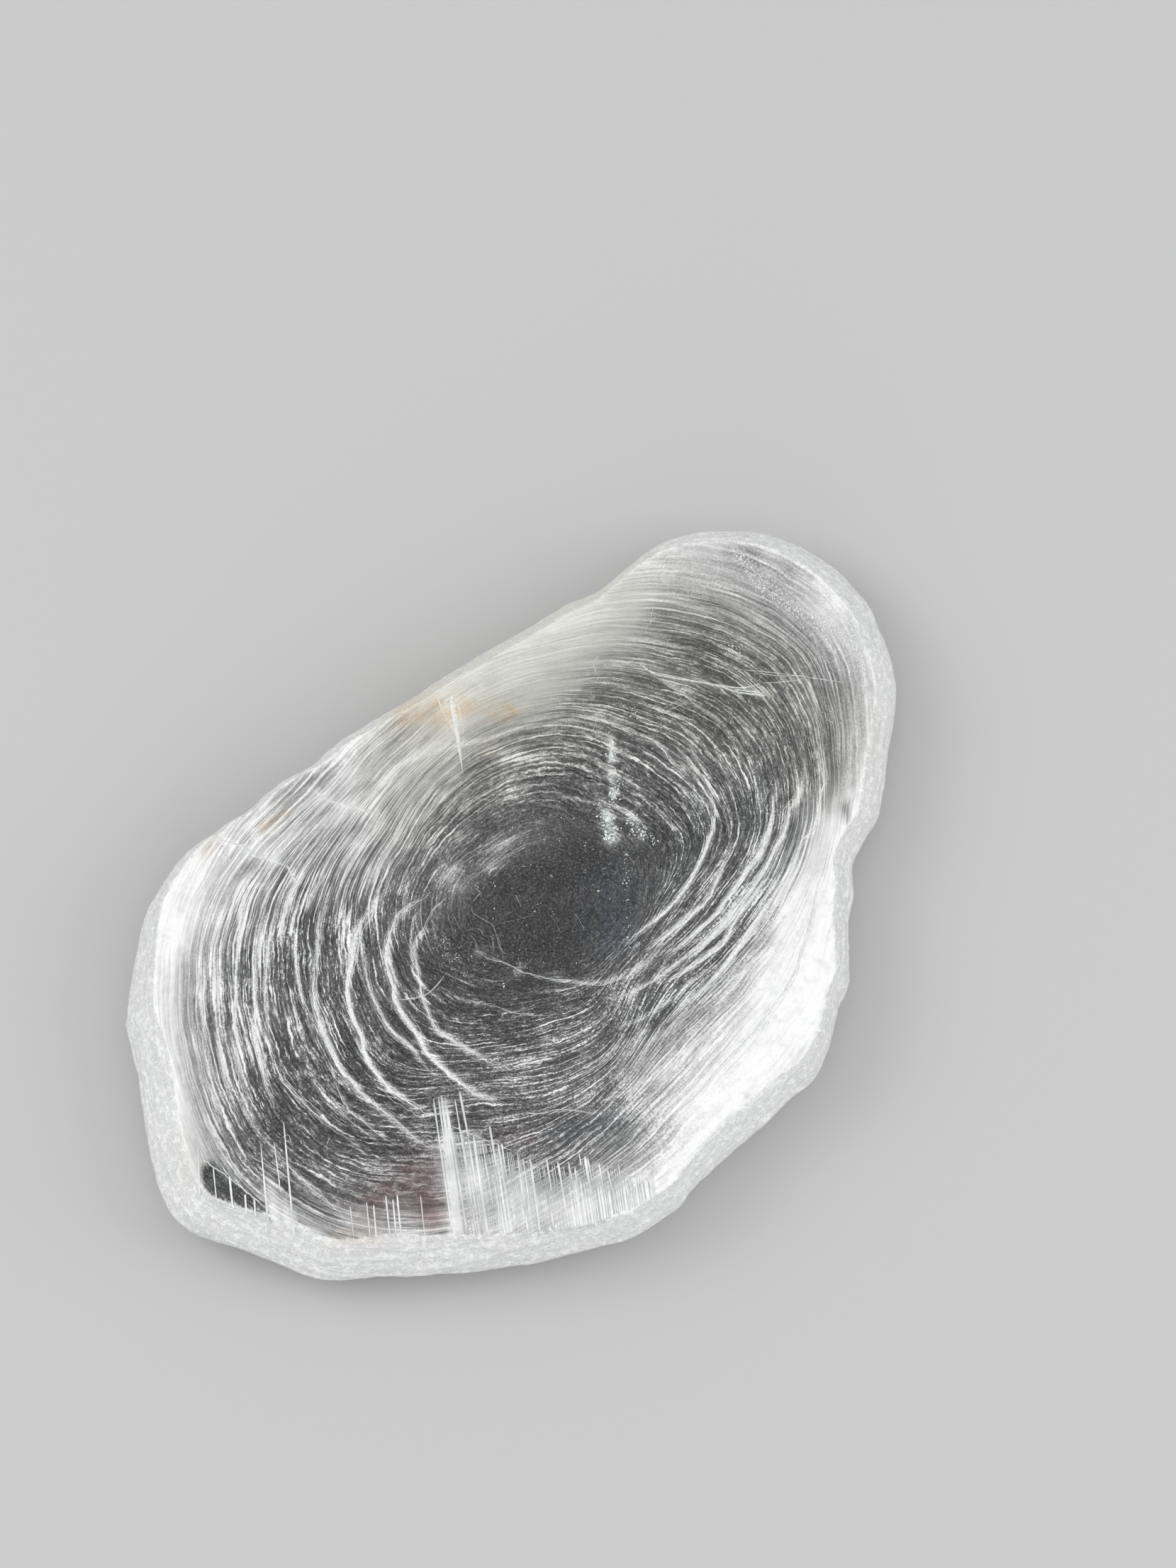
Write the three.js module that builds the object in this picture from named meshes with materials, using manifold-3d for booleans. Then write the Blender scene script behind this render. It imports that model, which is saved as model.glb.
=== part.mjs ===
// A water-clear selenite plate: a cleavage fragment of one gypsum crystal, rounded by water. Both broad faces
// are stepped in rings round a clear window, and the rim is a wide bevel scored by the edges of the
// crystal's layers. It lies on the flat middle of its underside. Millimetres, +Z up, long axis along X.
import * as THREE from "three";
import { mergeVertices } from "three/addons/utils/BufferGeometryUtils.js";
import Module from "manifold-3d";

// Driving dimensions
const LENGTH = 70; // along the long axis
const THICKNESS = 9; // from the rest face up to the clear window
const WAIST_HEIGHT = 3.6; // where the plate is widest
const TOP_EDGE_HEIGHT = 7.4; // about where the upper face meets the rim's bevel
const UNDERCUT = 1.6; // how far the underside's edge lies inside the waist
const TOP_FALL = 0.42; // how much lower the upper face lies at each traced ring
const BOTTOM_RISE = 0.26; // how much higher the underside lies at each traced ring
const TOP_LIP = 0.13; // a step's crest stands this far over the slope, and its foot as far under it
const BOTTOM_LIP = 0.08;
const STEP_RUN = 0.3; // a step's foot lies this share of the way to the next step
const LEDGE = 0.14; // depth of the layer edges round the rim
// The bevel's width in plan, in sixteen directions
const BEVEL = [1.1, 1.6, 1.7, 1.7, 1.6, 1.4, 1.2, 1.1, 1.2, 2.4, 2.2, 2.0, 1.1, 0.9, 1.2, 0.8];

// How finely the solid is made
const SPOKES = 88;
const TOP_STEPS = 3; // steps from one traced ring to the next
const BOTTOM_STEPS = 2;
const REST_RING = 1; // inside this ring the underside is flat, and rests
const RIM_LEDGES = 4;
const SPARE = 3; // how far the rim's form passes the two faces that cut it off

// Places in the reference picture are in its pixels, and directions run anticlockwise from its right.
const VIEW_ELEVATION = THREE.MathUtils.degToRad(75);
const LONG_AXIS_ANGLE = THREE.MathUtils.degToRad(42);
const WINDOW_CENTRE = [775, 1270];

// The widest outline, from the hollow in the right-hand side
const OUTLINE = [
  [1204, 1222], [1225, 1178], [1240, 1155], [1247, 1120], [1255, 1058], [1262, 1020], [1267, 975],
  [1258, 925], [1243, 885], [1228, 853], [1203, 825], [1175, 797], [1147, 779], [1100, 757],
  [1065, 749], [1025, 747], [985, 750], [945, 760], [910, 780], [878, 806], [846, 832], [800, 853],
  [750, 883], [700, 911], [645, 944], [555, 1001], [507, 1030], [475, 1050], [433, 1087], [400, 1104],
  [375, 1122], [345, 1150], [306, 1174], [300, 1181], [266, 1202], [234, 1240], [203, 1295],
  [190, 1350], [178, 1438], [177, 1450], [190, 1500], [208, 1605], [222, 1668], [240, 1707],
  [265, 1733], [350, 1764], [400, 1784], [445, 1801], [472, 1804], [515, 1800], [600, 1797],
  [680, 1790], [740, 1782], [800, 1769], [850, 1757], [890, 1745], [927, 1722], [960, 1700],
  [975, 1680], [1037, 1619], [1080, 1585], [1113, 1552], [1150, 1519], [1168, 1483], [1177, 1450],
  [1184, 1420], [1195, 1397], [1199, 1357], [1198, 1300], [1205, 1262],
];

// Traced rings, as distances from the window's centre in sixteen directions. The first ring of each face
// is the window's edge, and the last lies outside the outline.
const TOP_RINGS = [
  [135, 148, 140, 132, 142, 142, 146, 160, 178, 180, 150, 122, 112, 115, 115, 122],
  [176, 250, 255, 250, 250, 240, 232, 232, 252, 262, 265, 215, 180, 165, 140, 148],
  [255, 345, 370, 345, 320, 300, 290, 305, 350, 375, 382, 300, 268, 235, 190, 195],
  [345, 420, 470, 440, 390, 360, 345, 370, 455, 505, 523, 470, 365, 295, 265, 285],
  [382, 455, 540, 520, 450, 420, 430, 470, 545, 590, 620, 560, 440, 365, 335, 352],
  [500, 600, 720, 680, 520, 490, 500, 560, 660, 730, 770, 680, 590, 560, 520, 520],
];
const BOTTOM_RINGS = [
  [130, 150, 145, 135, 140, 140, 145, 150, 160, 180, 195, 185, 160, 130, 112, 118],
  [175, 248, 276, 265, 255, 240, 228, 215, 205, 240, 265, 282, 265, 210, 150, 145],
  [240, 340, 375, 350, 320, 300, 285, 275, 270, 310, 343, 345, 330, 275, 195, 190],
  [300, 400, 462, 440, 390, 360, 345, 350, 370, 420, 445, 420, 400, 330, 255, 250],
  [375, 455, 530, 515, 450, 420, 430, 460, 490, 560, 585, 530, 470, 400, 345, 345],
  [500, 600, 720, 680, 520, 490, 500, 560, 660, 730, 770, 680, 590, 560, 520, 520],
];

const TURN = 2 * Math.PI;
const FORESHORTENING = Math.sin(VIEW_ELEVATION);
const PIXEL = LENGTH / outlineExtent(); // in millimetres

// The outline's length along the long axis, in pixels with the foreshortening taken off.
function outlineExtent() {
  const along = OUTLINE.map(
    ([x, y]) => x * Math.cos(LONG_AXIS_ANGLE) - (y / FORESHORTENING) * Math.sin(LONG_AXIS_ANGLE),
  );
  return Math.max(...along) - Math.min(...along);
}

// A closed loop of values, evenly spaced in direction, read from a smooth curve through them.
function around(values, direction) {
  const n = values.length;
  const place = THREE.MathUtils.euclideanModulo((direction / TURN) * n, n);
  const first = Math.floor(place);
  const t = place - first;
  const [a, b, c, d] = [-1, 0, 1, 2].map((k) => values[(first + k + n) % n]);
  return b + 0.5 * t * (c - a + t * (2 * a - 5 * b + 4 * c - d + t * (3 * (b - c) + d - a)));
}

// The widest outline as spokes from below the window's centre: evenly spaced along the outline, each has
// a direction and a length in pixels. The picture shows the waist lower than the window above it.
function outlineSpokes() {
  const drop = ((THICKNESS - WAIST_HEIGHT) * Math.cos(VIEW_ELEVATION)) / PIXEL;
  const points = OUTLINE.map(
    ([x, y]) => new THREE.Vector3(x - WINDOW_CENTRE[0], WINDOW_CENTRE[1] + drop - y, 0),
  );
  return new THREE.CatmullRomCurve3(points, true)
    .getSpacedPoints(SPOKES)
    .slice(0, SPOKES)
    .map((p) => ({ direction: Math.atan2(p.y, p.x), length: p.length() }));
}

const spokes = outlineSpokes();

// One row of points round the window's centre: the radius, in millimetres, depends on the spoke.
function row(radius, height) {
  return spokes.map((spoke) => {
    const r = radius(spoke);
    const x = r * Math.cos(spoke.direction);
    const y = (r * Math.sin(spoke.direction)) / FORESHORTENING;
    return new THREE.Vector3(x, y, height);
  });
}

// A closed body through rows that run from the lowest to the highest, with a fan on each end.
function loft(rows) {
  const points = rows.flat();
  const faces = [];
  for (let k = 0; k + 1 < rows.length; k++) {
    for (let i = 0; i < SPOKES; i++) {
      const a = k * SPOKES + i;
      const b = k * SPOKES + ((i + 1) % SPOKES);
      faces.push(a, b, b + SPOKES, a, b + SPOKES, a + SPOKES);
    }
  }
  const bottom = points.push(new THREE.Vector3(0, 0, rows[0][0].z)) - 1;
  const top = points.push(new THREE.Vector3(0, 0, rows.at(-1)[0].z)) - 1;
  const lastRow = (rows.length - 1) * SPOKES;
  for (let i = 0; i < SPOKES; i++) {
    const next = (i + 1) % SPOKES;
    faces.push(bottom, next, i, top, lastRow + i, lastRow + next);
  }
  return new THREE.BufferGeometry().setFromPoints(points).setIndex(faces);
}

// How far out a face's ring lies on a spoke, at a level between its traced rings.
function ringRadius(rings, level, { direction }) {
  const inner = Math.min(Math.floor(level), rings.length - 2);
  const radius = THREE.MathUtils.lerp(
    around(rings[inner], direction),
    around(rings[inner + 1], direction),
    level - inner,
  );
  const wave = 0.01 * Math.sin(7 * direction + 5 * level) + 0.006 * Math.sin(13 * direction - 9 * level);
  return radius * PIXEL * (1 + wave);
}

// The rows of one face, from its first ring outwards: each step has a crest and, further out, a foot.
// outward is 1 on the upper face and -1 on the underside.
function faceRows({ rings, firstLevel, steps, flatHeight, slope, lip, outward }) {
  const rows = [];
  const count = (rings.length - 1 - firstLevel) * steps;
  for (let i = 0; i < count; i++) {
    const crestLevel = firstLevel + i / steps;
    const footLevel = firstLevel + (i + STEP_RUN) / steps;
    const height = flatHeight - outward * slope * (crestLevel - firstLevel);
    const crest = i === 0 ? flatHeight : height + outward * lip;
    rows.push(row((spoke) => ringRadius(rings, crestLevel, spoke), crest));
    rows.push(row((spoke) => ringRadius(rings, footLevel, spoke), height - outward * lip));
  }
  return rows;
}

// The two stepped faces, running out past the outline.
function steppedPlate() {
  const under = faceRows({
    rings: BOTTOM_RINGS,
    firstLevel: REST_RING,
    steps: BOTTOM_STEPS,
    flatHeight: 0,
    slope: BOTTOM_RISE,
    lip: BOTTOM_LIP,
    outward: -1,
  });
  const over = faceRows({
    rings: TOP_RINGS,
    firstLevel: 0,
    steps: TOP_STEPS,
    flatHeight: THICKNESS,
    slope: TOP_FALL,
    lip: TOP_LIP,
    outward: 1,
  });
  return loft([...under, ...over.reverse()]);
}

// The rim's form: rounded below, widest at the waist, and bevelled above it in ledges.
function rimForm() {
  const wall = (height, inset) => row((spoke) => spoke.length * PIXEL - inset(spoke), height);
  const bevel = ({ direction }, share) => around(BEVEL, direction) * share ** 1.4;
  const rows = [
    wall(-SPARE, () => UNDERCUT * (1 + SPARE / WAIST_HEIGHT)),
    wall(0.5, () => UNDERCUT),
    wall(1.6, () => 0.4 * UNDERCUT),
    wall(2.6, () => 0.1 * UNDERCUT),
    wall(WAIST_HEIGHT, () => 0),
  ];
  for (let i = 1; i <= RIM_LEDGES; i++) {
    const share = i / (RIM_LEDGES + 1);
    const height = THREE.MathUtils.lerp(WAIST_HEIGHT, TOP_EDGE_HEIGHT, share);
    rows.push(wall(height - LEDGE, (spoke) => bevel(spoke, share) - LEDGE / 2));
    rows.push(wall(height, (spoke) => bevel(spoke, share) + LEDGE));
  }
  rows.push(wall(TOP_EDGE_HEIGHT, (spoke) => bevel(spoke, 1)));
  rows.push(wall(THICKNESS + SPARE, (spoke) => 2.5 * bevel(spoke, 1)));
  return loft(rows);
}

const wasm = await Module();
wasm.setup();

// A closed geometry as a solid, and a solid as a geometry with flat faces.
function toSolid(geometry) {
  const merged = mergeVertices(geometry);
  return new wasm.Manifold(
    new wasm.Mesh({
      numProp: 3,
      vertProperties: merged.attributes.position.array,
      triVerts: new Uint32Array(merged.index.array),
    }),
  );
}

function toGeometry(solid) {
  const { vertProperties, triVerts } = solid.getMesh();
  const geometry = new THREE.BufferGeometry();
  geometry.setAttribute("position", new THREE.BufferAttribute(vertProperties, 3));
  geometry.setIndex(new THREE.BufferAttribute(triVerts, 1));
  const flat = geometry.toNonIndexed();
  flat.computeVertexNormals();
  return flat;
}

// The crystal in its own frame: the long axis turned to X, and the middle of its box over the origin.
function crystalGeometry() {
  const geometry = toGeometry(toSolid(steppedPlate()).intersect(toSolid(rimForm())));
  geometry.rotateZ(-LONG_AXIS_ANGLE);
  geometry.computeBoundingBox();
  const centre = geometry.boundingBox.getCenter(new THREE.Vector3());
  return geometry.translate(-centre.x, -centre.y, 0);
}

function clearSelenite() {
  return new THREE.MeshStandardMaterial({ color: 0xdfe2e0, roughness: 0.25, metalness: 0 });
}

const crystal = new THREE.Mesh(crystalGeometry(), clearSelenite());
crystal.name = "selenite_crystal";

const part = new THREE.Group();
part.add(crystal);
export default part;
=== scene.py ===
# A water-clear selenite plate, stepped in rings round a clear window, with a frosted, bevelled rim.
import math

import bpy
import numpy as np
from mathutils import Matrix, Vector


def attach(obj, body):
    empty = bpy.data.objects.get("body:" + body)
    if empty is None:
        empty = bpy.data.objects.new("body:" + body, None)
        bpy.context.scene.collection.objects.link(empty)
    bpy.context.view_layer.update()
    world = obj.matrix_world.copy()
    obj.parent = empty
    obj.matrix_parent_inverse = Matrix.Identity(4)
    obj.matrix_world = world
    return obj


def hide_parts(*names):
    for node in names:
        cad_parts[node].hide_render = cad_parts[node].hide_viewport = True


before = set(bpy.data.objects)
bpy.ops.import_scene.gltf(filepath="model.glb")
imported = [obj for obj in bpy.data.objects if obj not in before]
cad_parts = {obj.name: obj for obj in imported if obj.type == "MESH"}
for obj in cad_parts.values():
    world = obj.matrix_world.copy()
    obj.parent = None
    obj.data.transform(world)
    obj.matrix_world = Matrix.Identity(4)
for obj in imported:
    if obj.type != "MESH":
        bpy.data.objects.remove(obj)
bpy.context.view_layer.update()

# Driving dimensions, in millimetres
LENGTH = 70
THICKNESS = 9
WAIST_HEIGHT = 3.6
UNDERCUT = 1.6
TOP_FALL = 0.42
BOTTOM_RISE = 0.26
STEP_HEIGHT = 0.045
STEP_RISE = 0.28  # the share of a step over which it rises
SWELL_HEIGHT = 0.10
SWELL_SIZE = 9
WANDER_HEIGHT = 0.08
WANDER_SIZE = 6
NICK_DEPTH = 0.025
NICK_SIZE = 3
RIM_ROUGHNESS = 0.08
UNDER_STEP_HEIGHT = 0.06
SINK_DEPTH = 0.06  # how far below the surface the foot of a raised line lies
RELIEF_HEIGHT = 0.04
MM = 0.001

# The reference picture's size, its viewing angle and how far away it is seen from
FRAME_WIDTH = 1659
FRAME_HEIGHT = 2212
VIEW_ELEVATION = math.radians(75)
LONG_AXIS_ANGLE = math.radians(42)
CAMERA_DISTANCE = 1500

# Places below are in the picture's pixels, and directions run anticlockwise from its right.
WINDOW_CENTRE = (775, 1270)
OUTLINE = [
    (1204, 1222), (1225, 1178), (1240, 1155), (1247, 1120), (1255, 1058), (1262, 1020), (1267, 975),
    (1258, 925), (1243, 885), (1228, 853), (1203, 825), (1175, 797), (1147, 779), (1100, 757),
    (1065, 749), (1025, 747), (985, 750), (945, 760), (910, 780), (878, 806), (846, 832), (800, 853),
    (750, 883), (700, 911), (645, 944), (555, 1001), (507, 1030), (475, 1050), (433, 1087), (400, 1104),
    (375, 1122), (345, 1150), (306, 1174), (300, 1181), (266, 1202), (234, 1240), (203, 1295),
    (190, 1350), (178, 1438), (177, 1450), (190, 1500), (208, 1605), (222, 1668), (240, 1707),
    (265, 1733), (350, 1764), (400, 1784), (445, 1801), (472, 1804), (515, 1800), (600, 1797),
    (680, 1790), (740, 1782), (800, 1769), (850, 1757), (890, 1745), (927, 1722), (960, 1700),
    (975, 1680), (1037, 1619), (1080, 1585), (1113, 1552), (1150, 1519), (1168, 1483), (1177, 1450),
    (1184, 1420), (1195, 1397), (1199, 1357), (1198, 1300), (1205, 1262),
]
# Rings of each face, and how wide the bevel is: pixels in 16 directions from the window's centre
TOP_RINGS = [
    (135, 148, 140, 132, 142, 142, 146, 160, 178, 180, 150, 122, 112, 115, 115, 122),
    (176, 250, 255, 250, 250, 240, 232, 232, 252, 262, 265, 215, 180, 165, 140, 148),
    (255, 345, 370, 345, 320, 300, 290, 305, 350, 375, 382, 300, 268, 235, 190, 195),
    (345, 420, 470, 440, 390, 360, 345, 370, 455, 505, 523, 470, 365, 295, 265, 285),
    (382, 455, 540, 520, 450, 420, 430, 470, 545, 590, 620, 560, 440, 365, 335, 352),
    (500, 600, 720, 680, 520, 490, 500, 560, 660, 730, 770, 680, 590, 560, 520, 520),
]
BOTTOM_RINGS = [
    (130, 150, 145, 135, 140, 140, 145, 150, 160, 180, 195, 185, 160, 130, 112, 118),
    (175, 248, 276, 265, 255, 240, 228, 215, 205, 240, 265, 282, 265, 210, 150, 145),
    (240, 340, 375, 350, 320, 300, 285, 275, 270, 310, 343, 345, 330, 275, 195, 190),
    (300, 400, 462, 440, 390, 360, 345, 350, 370, 420, 445, 420, 400, 330, 255, 250),
    (375, 455, 530, 515, 450, 420, 430, 460, 490, 560, 585, 530, 470, 400, 345, 345),
    (500, 600, 720, 680, 520, 490, 500, 560, 660, 730, 770, 680, 590, 560, 520, 520),
]
BEVEL = (22, 32, 34, 34, 31, 28, 24, 21, 24, 47, 43, 40, 21, 17, 24, 15)

# How finely the crystal is made
SPOKES = 400
FINE_RINGS = (8, 10, 10, 7, 9)  # fine rings between one traced ring and the next
RINGS_WITHIN = np.concatenate([[0], np.cumsum(FINE_RINGS)])  # fine rings inside each traced ring
ROWS_PER_RING = 4
WINDOW_ROWS = 8
RIM_ROWS = 26
RIM_LINES = 14  # fine lines down the rim
UNDER_ROWS = 12  # rows between one ring and the next on the underside
UNDER_LINES = 10  # fine lines between one ring and the next on the underside
RIM_SHARE = 0.62  # the share of the rim's rows that lies on the bevel above the waist
BEVEL_POWER = 1.4  # rounds the bevel, which would be straight with 1
UNDERCUT_POWER = 1.8
UNDER_LEVELS = np.arange(4.9, 1, -1 / UNDER_ROWS)  # the underside's rows, from the rim inwards
UNDER_EDGE_HEIGHT = 1.0
WINDOW_LINES = 14  # fine lines across the window, from its middle to its edge

# Where a vertex lies, and a distance from the edge that stands for far inside
UPPER_FACE = 0
EDGE = 0.5
RIM = 1
UNDERSIDE = 2
FAR_IN = 9

# Fine rings inside which the window is clear, and outside which the veil is full
CLEAR_RING = -5
FROSTED_RING = 8
TURN_SIZE = 6.7  # in millimetres: this far out, a ring has twice as much noise along it as in the middle

TURN = 2 * math.pi
FORESHORTENING = math.sin(VIEW_ELEVATION)


def drop_of(height):
    """How far below the window a place at a height appears in the picture, in millimetres."""
    return (THICKNESS - height) * math.cos(VIEW_ELEVATION)


def smooth_curve(points, per_segment):
    """A closed centripetal Catmull-Rom curve through points."""
    points = np.asarray(points, float)
    n = len(points)
    out = []
    for i in range(n):
        p = [points[(i + k) % n] for k in (-1, 0, 1, 2)]
        t = [0.0]
        for a, b in zip(p, p[1:]):
            t.append(t[-1] + math.sqrt(np.linalg.norm(b - a)))
        for u in np.linspace(t[1], t[2], per_segment, endpoint=False):
            a = [((t[k + 1] - u) * p[k] + (u - t[k]) * p[k + 1]) / (t[k + 1] - t[k]) for k in range(3)]
            b = [((t[k + 2] - u) * a[k] + (u - t[k]) * a[k + 1]) / (t[k + 2] - t[k]) for k in range(2)]
            out.append(((t[2] - u) * b[0] + (u - t[1]) * b[1]) / (t[2] - t[1]))
    return np.array(out)


def spline(a, b, c, d, t):
    """A Catmull-Rom curve through four values, at a share of the way from the second to the third."""
    return b + 0.5 * t * (c - a + t * (2 * a - 5 * b + 4 * c - d + t * (3 * (b - c) + d - a)))


def around(values, direction):
    """A closed loop of evenly spaced values, read at directions from a smooth curve through them."""
    values = np.asarray(values, float)
    n = len(values)
    place = np.mod(np.asarray(direction) / TURN * n, n)
    first = np.floor(place).astype(int)
    return spline(*(values[(first + k) % n] for k in (-1, 0, 1, 2)), place - first)


def outline_extent():
    along = [
        x * math.cos(LONG_AXIS_ANGLE) - y / FORESHORTENING * math.sin(LONG_AXIS_ANGLE) for x, y in OUTLINE
    ]
    return max(along) - min(along)


PIXEL = LENGTH / outline_extent()  # in millimetres


def spaced(line, count, endpoint=True):
    """Evenly spaced places on a line of points, and its length."""
    run = np.concatenate([[0], np.cumsum(np.linalg.norm(np.diff(line, axis=0), axis=1))])
    places = np.linspace(0, run[-1], count, endpoint=endpoint)
    return np.interp(places, run, line[:, 0]), np.interp(places, run, line[:, 1]), run[-1]


def outline_spokes(count):
    """The widest outline's directions and lengths in pixels, evenly spaced along it."""
    x0, y0 = WINDOW_CENTRE[0], WINDOW_CENTRE[1] + drop_of(WAIST_HEIGHT) / PIXEL
    dense = smooth_curve([(x - x0, y0 - y) for x, y in OUTLINE], 24)
    x, y, _ = spaced(np.vstack([dense, dense[:1]]), count, endpoint=False)
    return np.arctan2(y, x), np.hypot(x, y)


def part_frame_shift():
    """Where the window's centre lies in the part's frame, in millimetres."""
    directions, lengths = outline_spokes(1440)
    x, y = turned(lengths * PIXEL * np.cos(directions), lengths * PIXEL * np.sin(directions) / FORESHORTENING)
    return -(x.min() + x.max()) / 2, -(y.min() + y.max()) / 2


def turned(x, y):
    """From the upright picture's axes to the part's, whose X runs along the long axis."""
    c, s = math.cos(-LONG_AXIS_ANGLE), math.sin(-LONG_AXIS_ANGLE)
    return c * x - s * y, s * x + c * y


SHIFT = part_frame_shift()


def in_part(x, y, z):
    """Points given round the window's centre in millimetres, as points of the part in metres."""
    px, py = turned(x, y)
    return np.stack([(px + SHIFT[0]) * MM, (py + SHIFT[1]) * MM, z * MM], axis=-1)


# Noise, made from a few random waves, that is the same on every run
def wave_noise(x, y, size, seed, octaves=3):
    """Smooth noise of about -1 to 1, with features of a size in millimetres."""
    random = np.random.default_rng(seed)
    total = np.zeros_like(x)
    for octave in range(octaves):
        scale = TURN / (size * 0.5**octave)
        for _ in range(7):
            angle = random.uniform(0, TURN)
            stretch = random.uniform(0.6, 1.2) * scale
            phase = random.uniform(0, TURN)
            total += np.sin(stretch * (x * math.cos(angle) + y * math.sin(angle)) + phase) * 0.6**octave
    return total / 4.2


def ring_radius(rings, level, directions):
    """How far out a ring lies, in pixels, at a level between the traced rings."""
    inner = min(int(level), len(rings) - 2)
    share = level - inner
    return around(rings[inner], directions) * (1 - share) + around(rings[inner + 1], directions) * share


def level_at(rings, directions, radii):
    """The level of the ring that passes through points, below 0 inside the first ring."""
    levels = radii / around(rings[0], directions) - 1
    for i in range(len(rings) - 1):
        inner = around(rings[i], directions)
        outer = around(rings[i + 1], directions)
        inside = radii >= inner
        levels[inside] = i + (radii[inside] - inner[inside]) / (outer[inside] - inner[inside])
    return levels


def fine_count(level):
    """How many fine rings lie between the window and a level."""
    return np.interp(level, range(len(RINGS_WITHIN)), RINGS_WITHIN)


def top_levels():
    """The upper face's rows: a few in the window, then several to each fine ring."""
    inside = list(np.linspace(-1, 0, WINDOW_ROWS, endpoint=False)[1:])
    counts = np.arange(0, sum(FINE_RINGS) * ROWS_PER_RING + 1) / ROWS_PER_RING
    return inside + list(np.interp(counts, RINGS_WITHIN, range(len(RINGS_WITHIN))))


def top_base(level):
    """The upper face's height without its fine steps."""
    return THICKNESS - TOP_FALL * np.maximum(level, 0)


def step_profile(phase):
    """A step's height over its slope, from 0 to 1: a short rise and a long fall."""
    f = np.mod(phase, 1)
    return np.where(f < STEP_RISE, f / STEP_RISE, (1 - f) / (1 - STEP_RISE))


def wander(x, y, level):
    """How far the rings stray from their traced lines, in millimetres. They don't at the window's middle."""
    return WANDER_HEIGHT * wave_noise(x, y, WANDER_SIZE, 21, 2) * np.clip(level + 0.3, 0, 1)


def top_height(x, y, level):
    """The upper face's height where the rings have a level."""
    steps = STEP_HEIGHT * step_profile(fine_count(np.maximum(level, 0)))
    swell = SWELL_HEIGHT * wave_noise(x, y, SWELL_SIZE, 11)
    return top_base(level) + (steps + swell) * np.clip(level, 0, 1)


def seen_round(x, y):
    """Directions from the window's centre and distances from it in pixels, as the picture shows them."""
    return np.arctan2(y * FORESHORTENING, x), np.hypot(x, y * FORESHORTENING) / PIXEL


def top_level(x, y):
    """The level of the ring that passes through places of the upper face."""
    directions, radii = seen_round(x, y)
    rough = level_at(TOP_RINGS, directions, radii)
    return level_at(TOP_RINGS, directions, radii - wander(x, y, rough) / PIXEL)


def ring_count(level):
    """The fine rings out to a level, carried on into the window."""
    return np.where(level < 0, WINDOW_LINES * level, fine_count(np.maximum(level, 0)))


def top_edge():
    """The upper face's edge: directions in rising order and how far out it lies, in pixels."""
    spokes, lengths = outline_spokes(SPOKES)
    order = np.argsort(spokes)
    return spokes[order], (lengths - around(BEVEL, spokes))[order]


TOP_EDGE = top_edge()


class Mesh:
    """Vertices, faces and per-vertex values, gathered row by row."""

    def __init__(self):
        self.points = []
        self.faces = []
        self.values = {}
        self.count = 0

    def add(self, points, **values):
        first = self.count
        self.points.append(points)
        self.count += len(points)
        for name, value in values.items():
            self.values.setdefault(name, []).append(np.broadcast_to(value, len(points)).astype(float))
        return np.arange(first, self.count)

    def add_within(self, points, inside, beyond, **values):
        """Adds a row only where it lies inside. Elsewhere it shares the vertices of the row beyond."""
        row = beyond.copy()
        chosen = {name: np.broadcast_to(value, len(points))[inside] for name, value in values.items()}
        row[inside] = self.add(points[inside], **chosen)
        return row

    def band(self, inner, outer, upward):
        """Quads between two closed rows, or triangles where they share vertices."""
        n = len(inner)
        for i in range(n):
            j = (i + 1) % n
            loop = [inner[i], outer[i], outer[j], inner[j]]
            if not upward:
                loop.reverse()
            face = [v for k, v in enumerate(loop) if v != loop[k - 1]]
            if len(face) > 2:
                self.faces.append(face)

    def fan(self, middle, ring, upward):
        n = len(ring)
        for i in range(n):
            a, b = int(ring[i]), int(ring[(i + 1) % n])
            self.faces.append([middle, a, b] if upward else [middle, b, a])


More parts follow.
